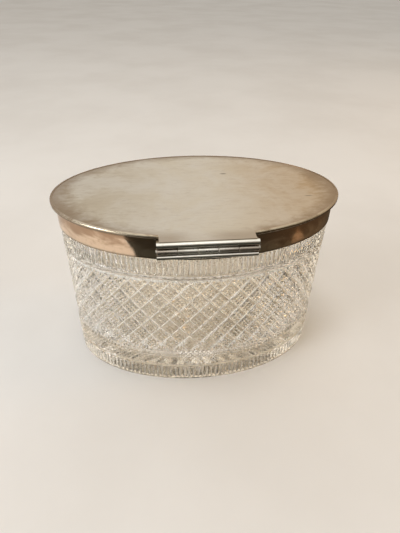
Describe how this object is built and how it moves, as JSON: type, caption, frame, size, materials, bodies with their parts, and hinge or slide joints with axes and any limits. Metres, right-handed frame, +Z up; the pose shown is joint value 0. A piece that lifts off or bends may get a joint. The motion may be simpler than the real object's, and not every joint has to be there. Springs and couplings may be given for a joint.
{
  "type": "powder jar",
  "caption": "Oval cut-glass powder jar with straight walls, a silver-plated collar and a flat metal lid on a pinned side hinge.",
  "frame": {"origin": "centre of the flat base, on the surface that the jar stands on", "axes": "+Z up to the lid, X along the oval's long axis, -Y towards the hinge"},
  "size_m": [0.14, 0.0907, 0.0922],
  "materials": {
    "cut_glass": "clear moulded and cut glass, polished facets",
    "plaster": "set plaster, matte",
    "collar_plate": "polished silver plate, lightly tarnished",
    "lid_plate_metal": "satin silver plate, fine straight brushing, warm tarnish",
    "edge_plate": "polished silver plate",
    "inner_plate": "polished silver plate",
    "hinge_plate": "polished silver plate",
    "pin_metal": "drawn wire, peened heads"
  },
  "bodies": {
    "jar": {"glass_body": "cut_glass", "collar_cement": "plaster", "collar_band": "collar_plate", "collar_mouth_ring": "collar_plate", "collar_liner": "inner_plate", "hinge_seat": "hinge_plate", "hinge_base_bar": "hinge_plate", "collar_knuckle_left": "hinge_plate", "collar_knuckle_centre": "hinge_plate", "collar_knuckle_right": "hinge_plate", "hinge_pin": "pin_metal"},
    "lid": {"lid_plate": "lid_plate_metal", "lid_edge_wire": "edge_plate", "lid_bezel": "inner_plate", "lid_hinge_bar": "hinge_plate", "lid_knuckle_left": "hinge_plate", "lid_knuckle_right": "hinge_plate"}
  },
  "joints": [
    {"name": "lid_hinge", "type": "hinge", "parent": "jar", "child": "lid", "pos_m": [0, -0.046, 0.0874], "axis": [1, 0, 0], "range_deg": [0, 125]}
  ]
}
